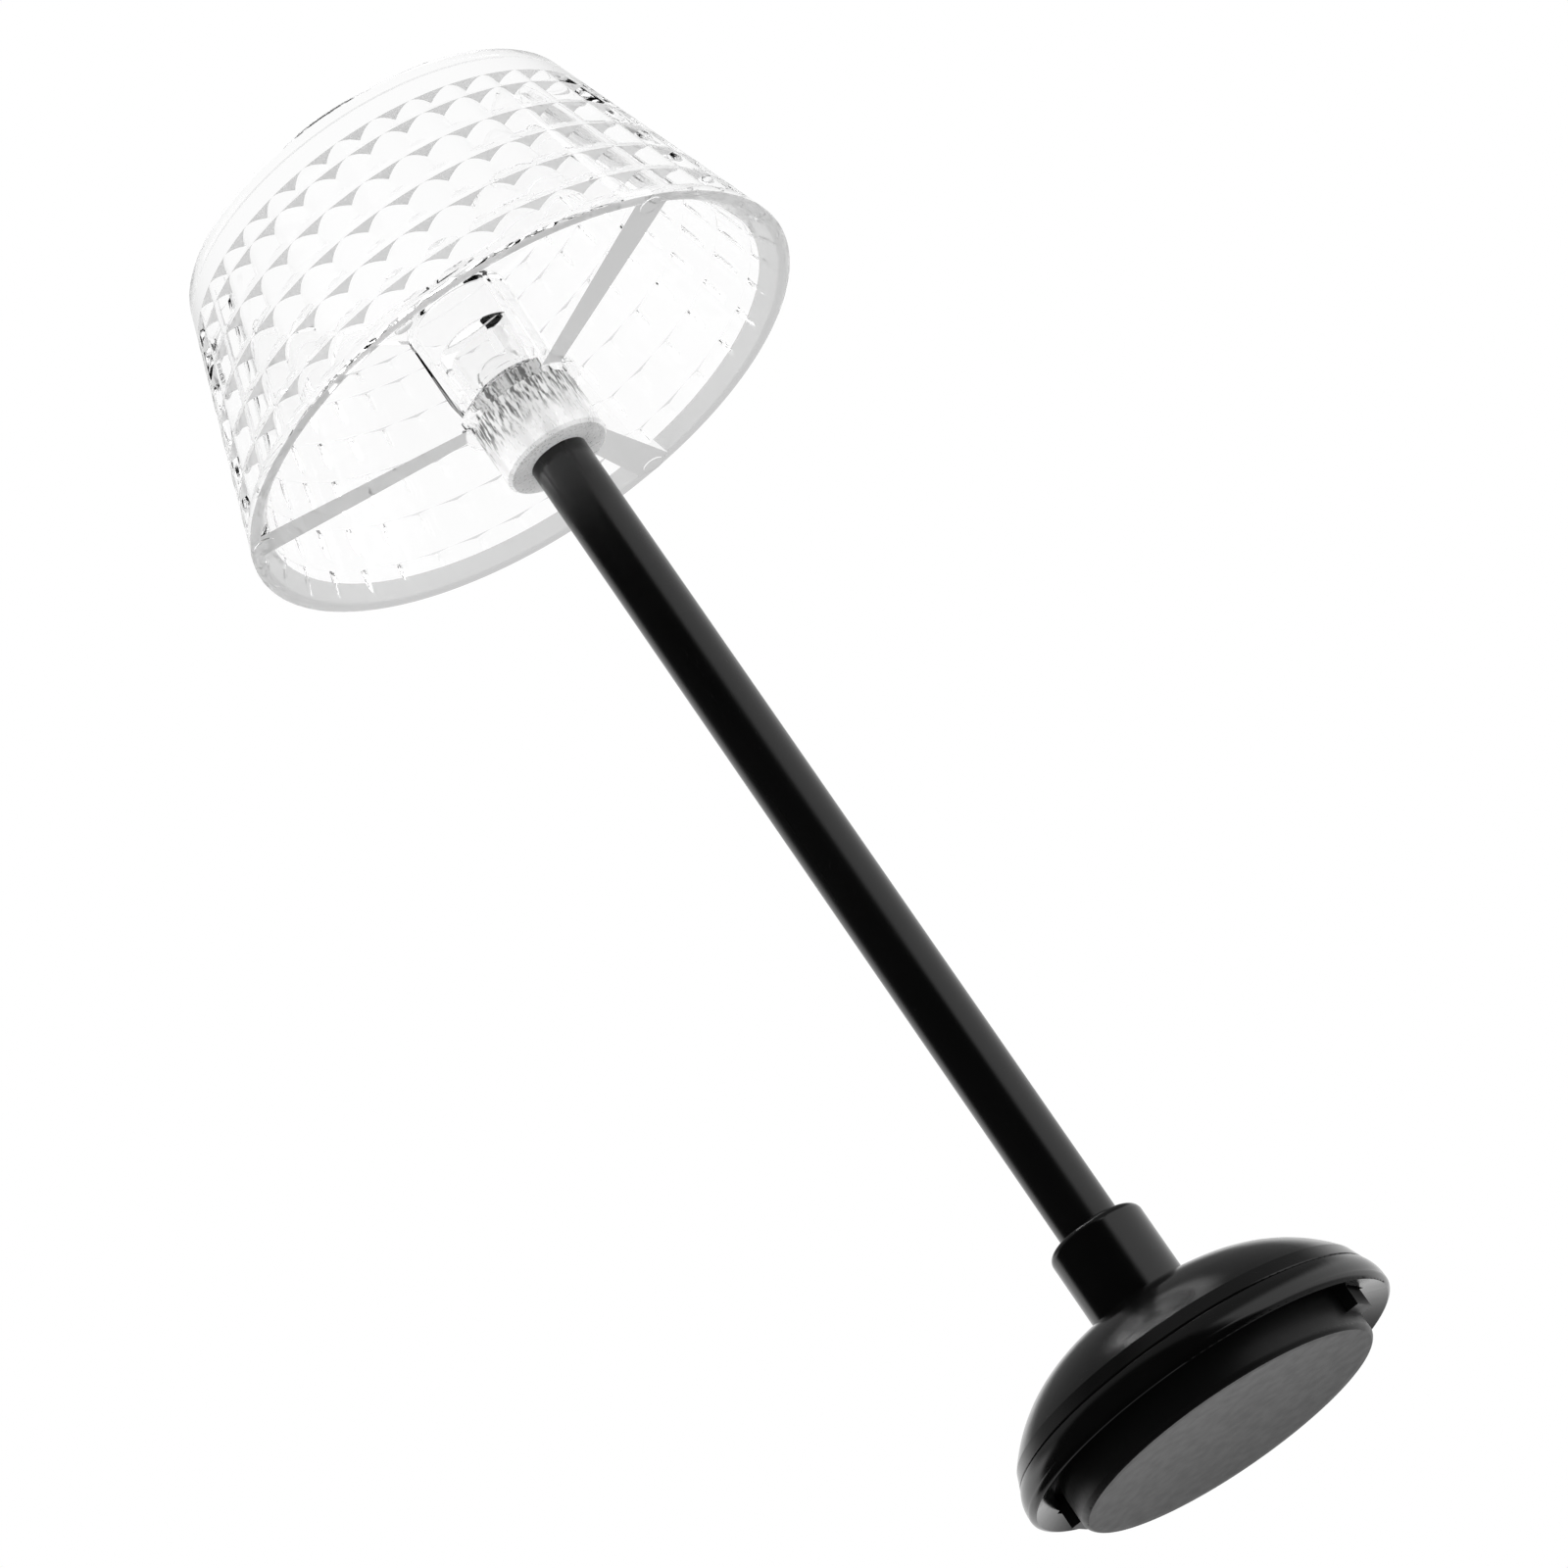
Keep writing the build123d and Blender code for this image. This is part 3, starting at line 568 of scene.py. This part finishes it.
finishes = {
    "neck_collar": frosted, "led_diffuser": clear, "led": clear, "post_tube": lacquer,
    "base_shell": gloss, "bottom_ring": gloss, "press_button": satin,
    "led_leads": nickel, "led_holder": whiteMoulding, "wire_red": redSleeve,
    "wire_black": blackSleeve, "return_spring": steel, "battery_tray": greyMoulding,
    "battery_door": greyMoulding, "tray_screws": steel, "button_cell_1": nickel,
    "button_cell_2": nickel, "button_cell_3": nickel, "link_top": nickel, "link_bottom": nickel,
    "contact_positive": nickel, "contact_negative": nickel, "switch_body": greyMoulding,
    "switch_plunger": whiteMoulding, "circuit_board": boardGreen, "resistor": greyMoulding,
}
for node, finish in finishes.items():
    dress(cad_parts[node], finish)
print("finishes on the frame's own nodes")

buildShade(clear)


# stage: floor, light and camera

stage = {
    "floorSize": 3.0, "floorDrop": 0.3 * mm, "floorColour": (0.9, 0.9, 0.9, 1),
}


def buildFloor():
    startClean()
    bpy.ops.mesh.primitive_plane_add(size=stage["floorSize"], location=(0, 0, -stage["floorDrop"]))
    floor = bpy.context.object
    floor.name = "floor"
    material = bpy.data.materials.new("pale floor")
    material.use_nodes = True
    nodes, links = material.node_tree.nodes, material.node_tree.links
    shader = nodes["Principled BSDF"]
    shader.inputs["Base Color"].default_value = stage["floorColour"]
    shader.inputs["Roughness"].default_value = 0.9
    through = nodes.new("ShaderNodeBsdfTransparent")
    side = nodes.new("ShaderNodeNewGeometry")
    mix = nodes.new("ShaderNodeMixShader")
    links.new(side.outputs["Backfacing"], mix.inputs[0])      # clear from underneath
    links.new(shader.outputs[0], mix.inputs[1])
    links.new(through.outputs[0], mix.inputs[2])
    links.new(mix.outputs[0], nodes["Material Output"].inputs["Surface"])
    dress(floor, material)
    floor.visible_diffuse = False
    floor.visible_glossy = False
    floor.visible_shadow = False


room = {    # what surrounds the lamp, as brightness by direction
    "darkSide": (-0.58, -0.7, -0.42), "darkEdge": (0.02, 0.22),
    "upperFade": (0.42, 0.62), "upperLight": 0.2, "lowerFade": (-0.2, -0.55), "lowerLight": 0.3,
    "overhead": (0.05, 0.15, 0.99), "overheadEdge": (0.94, 0.985), "overheadLight": 1.3,
    "throughTop": 0.72, "throughFoot": 0.62,
}


def buildWorld():
    world = bpy.data.worlds.new("studio")
    bpy.context.scene.world = world
    world.use_nodes = True
    nodes, links = world.node_tree.nodes, world.node_tree.links
    place = nodes.new("ShaderNodeTexCoord")
    parts = nodes.new("ShaderNodeSeparateXYZ")
    links.new(place.outputs["Generated"], parts.inputs["Vector"])

    def eased(source, start, end, low, high):
        step = nodes.new("ShaderNodeMapRange")
        step.interpolation_type = "SMOOTHSTEP"
        limits = {"From Min": start, "From Max": end, "To Min": low, "To Max": high}
        for socket, value in limits.items():
            step.inputs[socket].default_value = value
        links.new(source, step.inputs["Value"])
        return step.outputs["Result"]

    def combined(operation, first, second):
        total = nodes.new("ShaderNodeMath")
        total.operation = operation
        for socket, value in zip(total.inputs, (first, second)):
            if isinstance(value, float):
                socket.default_value = value
            else:
                links.new(value, socket)
        return total.outputs["Value"]

    def towards(direction):
        side = nodes.new("ShaderNodeVectorMath")
        side.operation = "DOT_PRODUCT"
        side.inputs[1].default_value = Vector(direction).normalized()
        links.new(place.outputs["Generated"], side.inputs[0])
        return side.outputs["Value"]

    height = parts.outputs["Z"]
    front = eased(towards(room["darkSide"]), *room["darkEdge"], 1.0, 0.0)
    upper = eased(height, *room["upperFade"], 1.0, room["upperLight"])
    lower = eased(height, *room["lowerFade"], 1.0, room["lowerLight"])
    over = eased(towards(room["overhead"]), *room["overheadEdge"], 0.0, room["overheadLight"])
    aside = combined("MULTIPLY", front, combined("MULTIPLY", upper, lower))
    mirrored = combined("MAXIMUM", aside, over)
    through = combined("MULTIPLY", eased(height, 0.6, 0.85, 1.0, room["throughTop"]),
                       eased(height, -0.35, -0.7, 1.0, room["throughFoot"]))
    path = nodes.new("ShaderNodeLightPath")
    untouched = combined("LESS_THAN", path.outputs["Transmission Depth"], 0.5)
    onBlack = combined("MULTIPLY", path.outputs["Is Glossy Ray"], untouched)
    seen = nodes.new("ShaderNodeMix")
    links.new(onBlack, seen.inputs["Factor"])
    links.new(through, seen.inputs["A"])
    links.new(mirrored, seen.inputs["B"])
    direct = nodes.new("ShaderNodeMix")
    links.new(path.outputs["Is Camera Ray"], direct.inputs["Factor"])
    links.new(seen.outputs["Result"], direct.inputs["A"])
    direct.inputs["B"].default_value = 1.0
    links.new(direct.outputs["Result"], nodes["Background"].inputs["Color"])
    nodes["Background"].inputs["Strength"].default_value = 1.0


lamps = [    # place, size, watts, aimed at a point on the post
    {"name": "leftSoftbox", "at": (-0.55, -0.1, 0.15), "size": 0.45, "power": 1.5, "aim": 0.06},
    {"name": "rightSoftbox", "at": (0.6, -0.05, 0.1), "size": 0.35, "power": 1.5, "aim": 0.06},
    {"name": "overSoftbox", "at": (-0.15, -0.2, 0.8), "size": 0.6, "power": 3.0, "aim": 0.08},
]


def buildLamps():
    for lamp in lamps:
        data = bpy.data.lights.new(lamp["name"], "AREA")
        data.shape = "SQUARE"
        data.size = lamp["size"]
        data.energy = lamp["power"]
        light = bpy.data.objects.new(lamp["name"], data)
        light.location = lamp["at"]
        toAim = Vector((0, 0, lamp["aim"])) - Vector(lamp["at"])
        light.rotation_euler = toAim.to_track_quat("-Z", "Y").to_euler()
        light.visible_camera = False
        light.visible_glossy = False
        bpy.context.collection.objects.link(light)


shot = {"aim": 80.3 * mm, "distance": 572.6 * mm, "below": 21.1, "roll": -34.6, "lens": 131.2}


def buildCamera():
    data = bpy.data.cameras.new("camera")
    data.lens = shot["lens"]
    data.sensor_width = 36
    camera = bpy.data.objects.new("camera", data)
    below = radians(shot["below"])
    camera.location = (0, -shot["distance"] * cos(below),
                       shot["aim"] - shot["distance"] * sin(below))
    camera.rotation_mode = "ZYX"
    camera.rotation_euler = (pi / 2 + below, 0, radians(shot["roll"]))
    bpy.context.collection.objects.link(camera)
    bpy.context.scene.camera = camera
    bpy.context.scene.view_settings.view_transform = "Standard"


buildFloor()
buildWorld()
buildLamps()
buildCamera()
print("stage ready")
